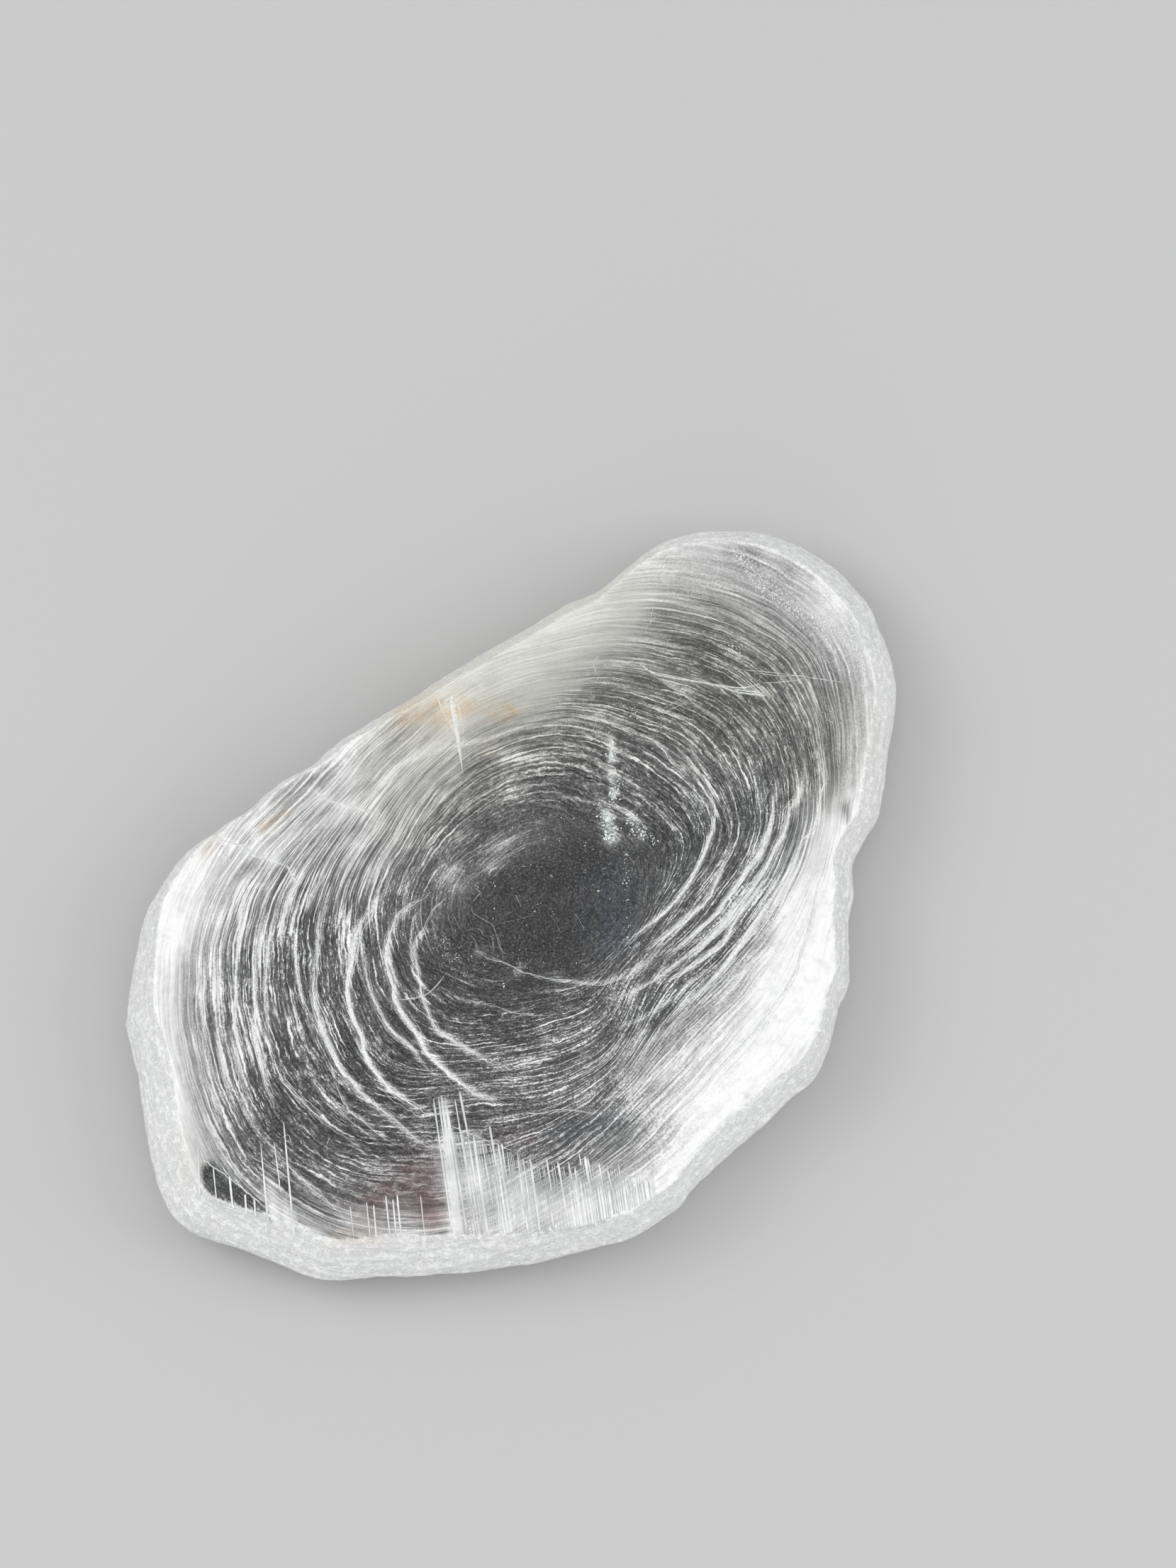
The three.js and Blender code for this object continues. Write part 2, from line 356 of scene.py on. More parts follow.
def build_crystal():
    directions, lengths = outline_spokes(SPOKES)
    mesh = Mesh()
    cos, sin = np.cos(directions), np.sin(directions) / FORESHORTENING

    def place(radius, height):
        """Points on the spokes at distances in millimetres."""
        return radius * cos, radius * sin, np.broadcast_to(height, len(cos)).astype(float)

    nicks = NICK_DEPTH * wave_noise(lengths * cos * PIXEL, lengths * sin * PIXEL, NICK_SIZE, 3)
    waist = lengths * PIXEL + nicks
    reach = waist - around(BEVEL, directions) * PIXEL  # how far out the upper face's edge lies
    edge_level = level_at(TOP_RINGS, directions, reach / PIXEL)
    under_level = level_at(BOTTOM_RINGS, directions, (waist - UNDERCUT) / PIXEL)

    # The upper face, from its middle out to the rim
    top = np.array([[0.0, 0.0, THICKNESS]])
    middle = mesh.add(top, ring=ring_count(-1.0), inset=FAR_IN, part=UPPER_FACE)[0]
    edge_x, edge_y, _ = place(reach, 0)
    edge_z = top_height(edge_x, edge_y, edge_level)
    edge_ring = ring_count(edge_level)
    edge = mesh.add(np.stack([edge_x, edge_y, edge_z], axis=-1), ring=edge_ring, inset=0, part=EDGE)
    rows = []
    for level in top_levels():
        radii = ring_radius(TOP_RINGS, max(level, 0), directions) * min(1 + level, 1) * PIXEL
        inside = (level < edge_level - 0.02) | (level < 0)
        if not inside.any():
            break
        x, y, _ = place(radii, 0)
        x, y, _ = place(radii + wander(x, y, level), 0)
        z = top_height(x, y, np.full(SPOKES, level))
        inset = reach - np.hypot(x, y * FORESHORTENING)
        rows.append(mesh.add_within(
            np.stack([x, y, z], axis=-1), inside, edge, ring=ring_count(level), inset=inset, part=UPPER_FACE,
        ))
    mesh.fan(middle, rows[0], True)
    for inner, outer in zip(rows, rows[1:] + [edge]):
        mesh.band(inner, outer, True)

    # The rim, down the bevel and round under the waist
    rim = [edge]
    for i in range(1, RIM_ROWS):
        share = i / RIM_ROWS
        if share < RIM_SHARE:
            t = share / RIM_SHARE
            height = edge_z + (WAIST_HEIGHT - edge_z) * t
            inset = (waist - reach) * (1 - t) ** BEVEL_POWER
        else:
            t = (share - RIM_SHARE) / (1 - RIM_SHARE)
            height = WAIST_HEIGHT * (1 - t) + UNDER_EDGE_HEIGHT * t
            inset = UNDERCUT * t**UNDERCUT_POWER
        x, y, z = place(waist - inset, height)
        rough = RIM_ROUGHNESS * wave_noise(x * 0.7 + z * 3, y * 0.7 + z * 4, 4.0, 31, 4)
        x, y, z = place(waist - inset + rough, height)
        ring = edge_ring + RIM_LINES * share
        rim.append(mesh.add(np.stack([x, y, z], axis=-1), ring=ring, inset=0, part=RIM))
    for upper, lower in zip(rim, rim[1:]):
        mesh.band(upper, lower, True)

    # The underside, from its rim to the flat that it rests on
    rows = [rim[-1]]
    for level in UNDER_LEVELS:
        inside = level < under_level - 0.04
        if not inside.any():
            continue
        radii = ring_radius(BOTTOM_RINGS, level, directions) * PIXEL
        x, y, _ = place(radii, 0)
        height = BOTTOM_RISE * (level - 1) + UNDER_STEP_HEIGHT * step_profile(-2 * level)
        z = np.full(SPOKES, min(height, UNDER_EDGE_HEIGHT))
        ring = edge_ring + RIM_LINES + UNDER_LINES * (5 - level)
        rows.append(mesh.add_within(
            np.stack([x, y, z], axis=-1), inside, rows[0], ring=ring, inset=FAR_IN, part=UNDERSIDE,
        ))
    for outer, inner in zip(rows, rows[1:]):
        mesh.band(inner, outer, False)
    ring = edge_ring.mean() + RIM_LINES + 5 * UNDER_LINES
    middle = mesh.add(np.zeros((1, 3)), ring=ring, inset=FAR_IN, part=UNDERSIDE)[0]
    mesh.fan(middle, rows[-1], False)
    return mesh


def in_picture(x, y, z):
    """Where points round the window's centre, in millimetres, appear in the picture."""
    return x / PIXEL + WINDOW_CENTRE[0], WINDOW_CENTRE[1] - (y * FORESHORTENING - drop_of(z)) / PIXEL


def on_top(px, py):
    """The place of the upper face that appears at picture points."""
    px, py = np.asarray(px, float), np.asarray(py, float)
    z = np.full(px.shape, float(THICKNESS))
    for _ in range(3):
        x = (px - WINDOW_CENTRE[0]) * PIXEL
        y = ((WINDOW_CENTRE[1] - py) * PIXEL + drop_of(z)) / FORESHORTENING
        z = top_height(x, y, top_level(x, y))
    return x, y, z


def picture_points(text):
    """Picture points from text, in pixels."""
    return [tuple(map(float, pair.split(","))) for pair in text.split()]


def marks(text):
    """Marks from text. Each is its picture points, a slash, its other numbers and a semicolon."""
    made = []
    for mark in text.split(";")[:-1]:
        places, numbers = mark.split("/")
        made.append((picture_points(places), *map(float, numbers.split())))
    return made


def strokes(x, y, z, drawn, taper=False):
    """Soft marks added up: each is a line of picture points, a half width in pixels and a strength."""
    px, py = in_picture(x, y, z)
    total = np.zeros_like(px)
    for points, half_width, strength in drawn:
        nearest = np.full_like(px, np.inf)
        reached = np.zeros_like(px)  # how far along the line the nearest place lies, in pixels
        run = 0.0
        ends = points[1:] or points
        for (ax, ay), (bx, by) in zip(points, ends):
            dx, dy = bx - ax, by - ay
            length = max(math.hypot(dx, dy), 1e-6)
            t = np.clip(((px - ax) * dx + (py - ay) * dy) / length**2, 0, 1)
            distance = np.hypot(px - ax - t * dx, py - ay - t * dy)
            closer = distance < nearest
            nearest[closer] = distance[closer]
            reached[closer] = run + t[closer] * length
            run += length
        mark = strength * np.exp(-((nearest / half_width) ** 2))
        if taper:
            mark *= np.clip(np.minimum(reached, run - reached) / (0.25 * run), 0, 1)
        total += mark
    return total


# Soft marks that set how each place looks: picture points / a half width in pixels and a strength
VEIL = marks("""
290,1180 400,1100 560,1000 700,920 880,830 / 115 0.44; 330,1240 450,1190 600,1100 / 78 0.32;
612,1300 640,1262 672,1226 725,1192 790,1176 / 22 0.08; 560,1120 700,1050 880,1000 1010,1060 / 85 0.09;
640,985 720,945 830,870 / 50 0.28; 632,980 640,1020 / 12 0.25; 585,1062 650,1045 / 9 0.12;
212,1340 212,1450 240,1660 / 78 0.68; 250,1240 225,1300 / 50 0.35; 480,1235 600,1222 / 40 0.14;
335,1495 395,1430 450,1460 / 34 0.13; 600,1460 660,1490 / 38 -0.06; 870,1390 850,1450 830,1560 / 45 0.09;
955,1315 905,1370 / 32 0.15; 450,1665 560,1682 600,1710 / 38 0.13; 440,1290 510,1262 / 28 0.13;
925,1360 885,1430 / 30 0.12; 960,1425 1055,1400 / 28 0.1; 870,1625 / 32 0.12; 955,1600 / 35 -0.12;
1060,925 1110,975 / 35 0.08; 1150,1060 1158,1115 / 28 -0.14; 405,1410 / 28 0.08; 500,1345 / 25 -0.06;
318,1188 345,1198 403,1220 416,1242 / 8 0.2; 352,1164 370,1194 / 5 0.14;
437,1113 467,1131 530,1149 / 8 0.16; 745,1000 735,1110 / 45 0.08; 900,1100 900,1180 / 40 0.05;
350,1250 345,1400 365,1500 / 42 0.1; 950,780 1060,775 1170,830 / 80 0.32;
1200,850 1235,960 1222,1100 / 60 0.42; 1060,860 1140,900 1165,980 1155,1040 / 58 0.14;
905,942 960,957 1046,970 1085,976 / 8 0.22; 862,1042 864,1074 / 6 0.5; 863,1090 866,1124 / 5 0.35;
856,1148 866,1182 / 9 0.55; 890,1152 906,1180 / 8 0.35;
1185,1180 1160,1300 1125,1440 1040,1560 960,1650 / 66 0.85; 1110,1290 1060,1400 940,1520 / 70 0.5;
950,1580 880,1645 / 45 0.14; 1193,1138 1195,1160 / 7 -0.6; 1010,1560 1030,1575 / 26 0.25;
1120,1410 1150,1450 / 26 0.25; 900,1700 700,1725 500,1735 300,1690 / 35 0.4; 700,1600 850,1540 / 80 0.14;
680,1480 850,1500 / 70 0.04; 400,1560 460,1640 / 45 -0.05; 660,1612 672,1734 / 9 0.4;
674,1602 687,1736 / 6 0.35; 702,1630 715,1730 / 9 0.6; 815,1672 821,1730 / 15 0.6;
640,1650 700,1680 850,1705 900,1690 / 32 0.3; 628,1556 645,1738 / 8 0.8; 383,1657 389,1733 / 10 0.35;
404,1690 412,1738 / 8 0.25; 858,1255 862,1320 / 24 0.02; 735,1650 745,1730 / 12 0.16;
843,1650 852,1718 / 10 0.35; 296,1652 302,1686 / 10 -1.3; 312,1672 334,1690 360,1705 / 13 -1.3;
1055,1545 1056,1562 / 7 -0.4;
""")
# How sharply the frost varies. The first two marks sharpen the left part's bright lines and the dark gaps
# between them, which are painted reflection highlights with painted shade between them.
CONTRAST = marks("""
400,1300 340,1400 380,1520 / 80 0.6; 480,1290 490,1400 540,1520 / 90 0.4;
1100,1180 1030,1300 930,1400 / 80 0.5; 640,975 720,945 840,860 / 62 -1;
330,1220 450,1170 560,1100 / 70 0.05; 1000,790 1220,900 1230,1050 / 75 -0.45; 1160,900 1185,1040 / 45 0.1;
1180,1200 1160,1300 1120,1450 1030,1565 / 65 -0.5; 225,1260 215,1450 245,1640 / 65 -0.55;
640,1660 760,1690 870,1690 / 40 -0.35; 700,1480 850,1500 / 80 0.3; 590,1650 560,1680 520,1700 / 35 -0.4;
""")
SUGAR = marks("""
1080,1400 1010,1500 940,1570 / 60 0.3; 1000,1560 920,1640 / 45 0.4; 850,1560 720,1590 / 50 0.4;
860,1410 940,1375 1060,1270 / 60 0.55; 700,1480 850,1500 / 70 0.25; 960,795 1080,800 1200,900 / 50 0.6;
1225,960 1215,1080 / 35 0.5;
""")
TAN = marks("""
575,1010 630,1000 / 26 0.9; 660,1000 712,1003 / 16 0.7; 720,1004 / 8 0.8; 690,1055 / 14 0.5;
370,1168 398,1148 / 9 0.8; 290,1200 300,1190 / 12 0.3; 530,1738 480,1742 / 14 0.45;
592,1700 610,1725 / 12 0.4;
""")
PINK = marks("""
590,1650 560,1680 520,1700 / 28 1.2; 600,1680 610,1710 / 22 1.3; 703,1602 750,1606 / 12 0.6;
668,1706 676,1730 / 12 0.4;
""")
GREENISH = marks("""
620,985 740,920 880,840 / 80 0.9; 620,1090 800,1000 1000,980 / 100 0.8;
1000,900 1100,980 1140,1080 / 70 0.5; 1190,1000 1215,1040 / 30 0.6; 268,1600 270,1660 / 14 0.5;
""")
# The blue and teal tints below are painted iridescent reflections in the see-through places.
IRIDESCENT_BLUE = marks("""
858,1250 862,1325 / 26 1.1; 905,1245 / 10 0.6; 322,1360 330,1400 / 7 0.5; 355,1345 352,1400 / 7 0.5;
410,1310 412,1345 / 7 0.4; 790,1600 840,1590 880,1570 / 14 0.45;
""")
IRIDESCENT_TEAL = marks("""
990,1125 968,1205 930,1270 / 11 0.6; 1150,1150 1118,1215 1075,1265 / 14 0.9; 1070,1110 1062,1180 / 12 0.5;
1000,1440 960,1480 / 14 0.6; 900,1590 860,1600 / 16 0.4; 895,1430 975,1395 / 12 0.4;
445,1330 442,1365 / 7 0.4; 287,1640 330,1668 / 12 0.5;
""")


def crystal_object():
    """The crystal, whose vertices carry what its material needs to know."""
    made = build_crystal()
    points = np.vstack(made.points)
    x, y, z = points.T
    ring, inset, part = (np.concatenate(made.values[name]) for name in ("ring", "inset", "part"))
    fade = np.clip((ring - CLEAR_RING) / (FROSTED_RING - CLEAR_RING), 0, 1)
    fringe = np.exp(-inset / (0.3 + 0.5 * np.abs(wave_noise(x, y, 1.6, 41, 2))))
    veil = np.maximum(0.01 + 0.12 * fade**1.2 + strokes(x, y, z, VEIL), 0.01) + 0.28 * fringe
    contrast = np.clip(1.2 - 0.95 * veil + strokes(x, y, z, CONTRAST), 0.14, 1.8)
    on_rim = (part >= EDGE) & (part <= RIM)
    arcs_and_highlights = [(line, 0.45 * bundle, 0.85 * strength) for line, bundle, strength in ARCS_AND_HIGHLIGHTS]
    values = {
        "ring": ring,
        "veil": np.where(on_rim, 1.2, np.where(part == UNDERSIDE, 0.4 * veil, veil)),
        "contrast": np.where(on_rim, 0.22, contrast * np.clip((ring + 6) / 9, 0.2, 1)),
        "rim": on_rim,
        "arcs_and_highlights": np.where(part == UPPER_FACE, strokes(x, y, z, arcs_and_highlights, taper=True), 0),
        "sugar": np.where(part == UPPER_FACE, strokes(x, y, z, SUGAR), 0),
    }
    # Tan, pink and greenish are stains and tints of the stone; blue and teal are painted iridescent
    # reflections.
    for name, tint in (("tan", TAN), ("pink", PINK), ("greenish", GREENISH), ("iridescent_blue", IRIDESCENT_BLUE), ("iridescent_teal", IRIDESCENT_TEAL)):
        values[name] = strokes(x, y, z, tint)
    piece = finished("crystal", points, made.faces, selenite())
    for name, value in values.items():
        stored = piece.data.attributes.new(name, "FLOAT", "POINT")
        stored.data.foreach_set("value", value.astype(np.float32))
    turns, radii = seen_round(x, y)
    reach = 1 + radii * PIXEL / TURN_SIZE
    vectors = np.stack([reach * np.cos(turns), reach * np.sin(turns), np.zeros_like(turns)], axis=-1)
    stored = piece.data.attributes.new("turn", "FLOAT_VECTOR", "POINT")
    stored.data.foreach_set("vector", vectors.ravel())
    return piece


def finished(name, points, faces, material):
    """A smooth-shaded object that rides on the part. Its points are millimetres round the window's centre."""
    mesh = bpy.data.meshes.new(name)
    mesh.from_pydata(in_part(*points.T).tolist(), [], faces)
    mesh.polygons.foreach_set("use_smooth", np.ones(len(faces), bool))
    mesh.materials.append(material)
    piece = bpy.data.objects.new(name, mesh)
    bpy.context.scene.collection.objects.link(piece)
    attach(piece, "root")
    return piece


# The places of the colour sockets on a mix node
COLOUR_A = 6
COLOUR_B = 7
COLOUR_RESULT = 2
FIBRE_GAIN = 6.0  # brings a noise's swing to about 1


class Value:
    """A node's output, which can be added, subtracted and multiplied."""

    def __init__(self, nodes, socket):
        self.nodes = nodes
        self.socket = socket

    def __add__(self, other):
        return self.nodes.maths("ADD", self, other)

    def __sub__(self, other):
        return self.nodes.maths("SUBTRACT", self, other)

    def __rsub__(self, other):
        return self.nodes.maths("SUBTRACT", other, self)

    def __mul__(self, other):
        return self.nodes.maths("MULTIPLY", self, other)

    __radd__ = __add__
    __rmul__ = __mul__


class Nodes:
    """A material, and short calls that build its nodes. An input takes a number, a colour or a Value."""

    def __init__(self, name):
        self.material = bpy.data.materials.new(name)
        self.material.use_nodes = True
        self.tree = self.material.node_tree

    def fill(self, node, inputs):
        """Sets a node's inputs, given by name or place."""
        for key, value in inputs.items():
            if isinstance(value, Value):
                self.tree.links.new(value.socket, node.inputs[key])
            else:
                node.inputs[key].default_value = value

    def surface(self, inputs):
        self.fill(self.tree.nodes["Principled BSDF"], inputs)

    def value(self, kind, inputs, output=0, **settings):
        """One output of a new node."""
        node = self.tree.nodes.new(kind)
        for key, setting in settings.items():
            setattr(node, key, setting)
        self.fill(node, inputs)
        return Value(self, node.outputs[output])

    def maths(self, operation, *values, clamp=False):
        return self.value("ShaderNodeMath", dict(enumerate(values)), operation=operation, use_clamp=clamp)

    def attribute(self, name, output="Fac"):
        return self.value("ShaderNodeAttribute", {}, output, attribute_name=name)

    def texture(self, place, scale, detail, roughness):
        inputs = {"Vector": place, "Scale": scale, "Detail": detail, "Roughness": roughness}
        return self.value("ShaderNodeTexNoise", inputs, "Fac")

    def noise(self, size, detail=2.0, roughness=0.5):
        """Noise from 0 to 1 with features of a size in millimetres."""
        place = self.value("ShaderNodeTexCoord", {}, "Object")
        return self.texture(place, 1 / (size * MM), detail, roughness)

    def fibres(self, across, along, detail=2.0, roughness=0.5):
        """Noise of about -1 to 1 that is drawn out along the rings. across changes from ring to ring."""
        turn = self.attribute("turn", "Vector")
        scaled = self.value("ShaderNodeVectorMath", {0: turn, "Scale": along}, operation="SCALE")
        lifted = self.value("ShaderNodeCombineXYZ", {"Z": across})
        place = self.value("ShaderNodeVectorMath", {0: scaled, 1: lifted}, operation="ADD")
        return FIBRE_GAIN * (self.texture(place, 1.0, detail, roughness) - 0.5)

    def ramp(self, value, low, high, to_low=0.0, to_high=1.0, kind="SMOOTHSTEP"):
        inputs = {"Value": value, "From Min": low, "From Max": high, "To Min": to_low, "To Max": to_high}
        return self.value("ShaderNodeMapRange", inputs, "Result", interpolation_type=kind)

    def blend(self, share, one, other):
        """A colour between two."""
        inputs = {0: share, COLOUR_A: one, COLOUR_B: other}
        return self.value("ShaderNodeMix", inputs, COLOUR_RESULT, data_type="RGBA")


REFRACTIVE_INDEX = 1.52
# How strongly the grey absorption darkens the crystal, as painted shade
SHADE_ABSORPTION_DENSITY = 680
# Three sets of fine growth lines: how many there are to a ring, how far they stray and how strong they are
LINES = ((1.0, 0.22, 0.8), (1.73, 0.35, 0.7), (2.87, 0.5, 0.85))
LINE_EDGE = (0.24, 0.46)  # how far from the middle between two lines one starts, and is full


def growth_lines(n, across, strand):
    """Lines that follow the rings, at three spacings. Each is broken into stretches."""
    lines = []
    for turns_per_ring, shift, strength in LINES:
        phase = across * turns_per_ring + strand * shift
        number = n.maths("FLOOR", phase + 0.5)
        shows = n.ramp(n.fibres(number * 3.7, 0.9), -1.2, 0.6, 0.1, strength)
        from_middle = n.maths("ABSOLUTE", n.maths("FRACT", phase) - 0.5)
        lines.append(n.ramp(from_middle, *LINE_EDGE) * shows)
    return sum(lines)


def selenite():
    """Clear where the frost is 0, and white and rough where it is 1. The clear places are tinted grey as
    painted shade.
    """
    n = Nodes("selenite")
    ring, rim, veil = (n.attribute(name) for name in ("ring", "rim", "veil"))
    haze = n.ramp(veil, 0.15, 0.55, 1.0, 0.35)
    wiggle = 0.7 * (n.noise(1.8) - 0.5) + 0.25 * (n.noise(0.35, 1) - 0.5)
    across = ring + wiggle * haze
    hair = n.fibres(across * 3.6, 0.9, 2, 0.7)
    fine = n.fibres(across * 4.0, 8, 2, 0.7)
    strand = n.fibres(across, 0.7)
    band = n.fibres(ring * 0.3, 1.4, 1)
    grain = 2.4 * (n.noise(0.15, 1) - 0.5) + 1.6 * (n.noise(0.07, 1) - 0.5)
    line = growth_lines(n, across, strand)
    sugar = n.attribute("sugar") * n.ramp(n.noise(0.16, 2, 0.7), 0.36, 0.64, -1.6, 0.9)
    crumbs = n.ramp(n.noise(0.5, 4, 0.75), 0.36, 0.60, -1.3, 0.6)

    # How much frost there is
    spread = line + 0.85 * hair + 0.2 * strand + 0.45 * band + sugar
    spread = spread + haze * (0.7 * fine + 0.7 * grain) - 0.95
    rim_spread = crumbs + 0.35 * hair + 0.5 * grain
    spread = spread * (1.0 - rim) + rim_spread * rim
    # Frost of the arcs: growth lines, and in the left part painted reflection highlights as well
    bundles_and_highlights = n.attribute("arcs_and_highlights") * n.maths("EXPONENT", hair + 0.5 * strand + 0.7 * grain - 0.4)
    speckle = haze * n.ramp(n.noise(0.14, 2, 0.75), 0.48, 0.76, 0.0, 0.22)
    threads = haze * n.ramp(fine, -0.2, 1.2, 0.0, 0.08)
    frost = veil * n.maths("EXPONENT", spread * n.attribute("contrast")) + bundles_and_highlights + speckle + threads
    frost = n.maths("MINIMUM", frost, 1.0)

    # What colours the frosted and the clear places have
    cloud = n.ramp(n.noise(0.9, 5, 0.7), 0.46, 0.66) * (1.0 - 0.5 * rim)
    dull = n.ramp(0.6 * hair + grain + 0.4 * crumbs, 0.8, -0.9)
    patchy = n.ramp(n.noise(1.2, 4, 0.65), 0.35, 0.65, 0.3)
    white = n.blend(cloud, (0.97, 0.97, 0.97, 1), (0.86, 0.86, 0.86, 1))
    white = n.blend(rim * dull, white, (0.78, 0.785, 0.785, 1))
    white = n.blend(n.attribute("greenish"), white, (0.80, 0.805, 0.745, 1))
    white = n.blend(n.attribute("tan") * patchy, white, (0.80, 0.64, 0.46, 1))
    white = n.blend(n.attribute("pink") * patchy, white, (0.58, 0.42, 0.44, 1))
    # Painted shade: the see-through places are tinted mid grey, which darkens the water-clear window.
    shaded_clear = n.blend(n.attribute("iridescent_blue"), (0.50, 0.50, 0.50, 1), (0.40, 0.49, 0.72, 1))
    shaded_clear = n.blend(n.attribute("iridescent_teal"), shaded_clear, (0.22, 0.50, 0.44, 1))
    shaded_clear = n.blend(n.attribute("pink"), shaded_clear, (0.42, 0.27, 0.30, 1))

    relief = (0.15 * hair + 0.5 * line + 0.25 * grain) * (1.0 - 0.8 * rim) + 0.7 * crumbs * rim
    bump = {"Distance": RELIEF_HEIGHT * MM, "Strength": 1.0, "Height": relief}
    n.surface({
        "Normal": n.value("ShaderNodeBump", bump, "Normal"),
        "Base Color": n.blend(n.ramp(frost, 0.0, 0.35, kind="LINEAR"), shaded_clear, white),
        "IOR": REFRACTIVE_INDEX,
        "Transmission Weight": n.maths("SUBTRACT", 1.0, frost, clamp=True),
        "Roughness": n.ramp(frost, 0.0, 1.0, 0.06, 0.5),
    })
    # Painted shade: a grey absorption darkens the see-through crystal further.
    shade_absorption = {"Color": (0.80, 0.80, 0.805, 1), "Density": SHADE_ABSORPTION_DENSITY}
    volume = n.value("ShaderNodeVolumeAbsorption", shade_absorption)
    n.fill(n.tree.nodes["Material Output"], {"Volume": volume})
    return n.material


def flaw(name, dark, light, size=0.25):
    """An opaque, satin flaw whose colour varies between two, in patches of a size in millimetres."""
    n = Nodes(name)
    patches = n.ramp(n.noise(size, 3), 0.35, 0.65)
    n.surface({"Base Color": n.blend(patches, (*dark, 1), (*light, 1)), "Roughness": 0.45})
    return n.material


class Ribbons:
    """Thin raised lines with closed, three-sided or flat-topped sections, gathered in one mesh."""

    def __init__(self):
        self.points = []
        self.faces = []
        self.count = 0

    def add(self, x, y, z, width, height, flat=0.0):
        """One line along a path. Its width and height are in millimetres; flat is its top's share of it."""
        path = np.stack([x, y], axis=-1)
        ahead = np.gradient(path, axis=0)
        ahead /= np.maximum(np.linalg.norm(ahead, axis=1, keepdims=True), 1e-9)
        side = np.stack([-ahead[:, 1], ahead[:, 0]], axis=-1)
        width = np.broadcast_to(width, len(x))
        height = np.broadcast_to(height, len(x))
        top = [(-0.5 * flat, 1), (0.5 * flat, 1)] if flat else [(0, 1)]
        section = [(-0.5, 0), *top, (0.5, 0)]
        rows = []
        for across, up in section:
            place = path + side * (across * width)[:, None]
            lift = height if up else -SINK_DEPTH
            rows.append(np.column_stack([place, z + lift]))
        n, k = len(x), len(section)
        self.points.append(np.concatenate(rows))
        index = self.count + np.arange(k * n).reshape(k, n)
        for j in range(k):
            a, b = index[j], index[(j + 1) % k]
            for i in range(n - 1):
                self.faces.append([int(a[i]), int(a[i + 1]), int(b[i + 1]), int(b[i])])
        self.faces.append([int(v) for v in index[:, 0]])
        self.faces.append([int(v) for v in index[::-1, -1]])
        self.count += k * n

    def piece(self, name, material):
        return finished(name, np.concatenate(self.points), self.faces, material)


def open_curve(points, count):
    """Evenly spaced places on a smooth open curve through picture points, and its length."""
    points = np.asarray(points, float)
    if len(points) > 2:
        before, after = 2 * points[0] - points[1], 2 * points[-1] - points[-2]
        p = np.vstack([before, points, after])
        t = np.linspace(0, 1, 8, endpoint=False)[:, None]
        parts = [spline(a, b, c, d, t) for a, b, c, d in zip(p, p[1:], p[2:], p[3:])]
        points = np.vstack(parts + [points[-1:]])
    return spaced(points, count)


def shifted(px, py, offset):
    """A picture curve moved sideways by an offset in pixels."""
    ahead = np.stack([np.gradient(px), np.gradient(py)], axis=-1)
    ahead /= np.maximum(np.linalg.norm(ahead, axis=1, keepdims=True), 1e-9)
    return px - ahead[:, 1] * offset, py + ahead[:, 0] * offset
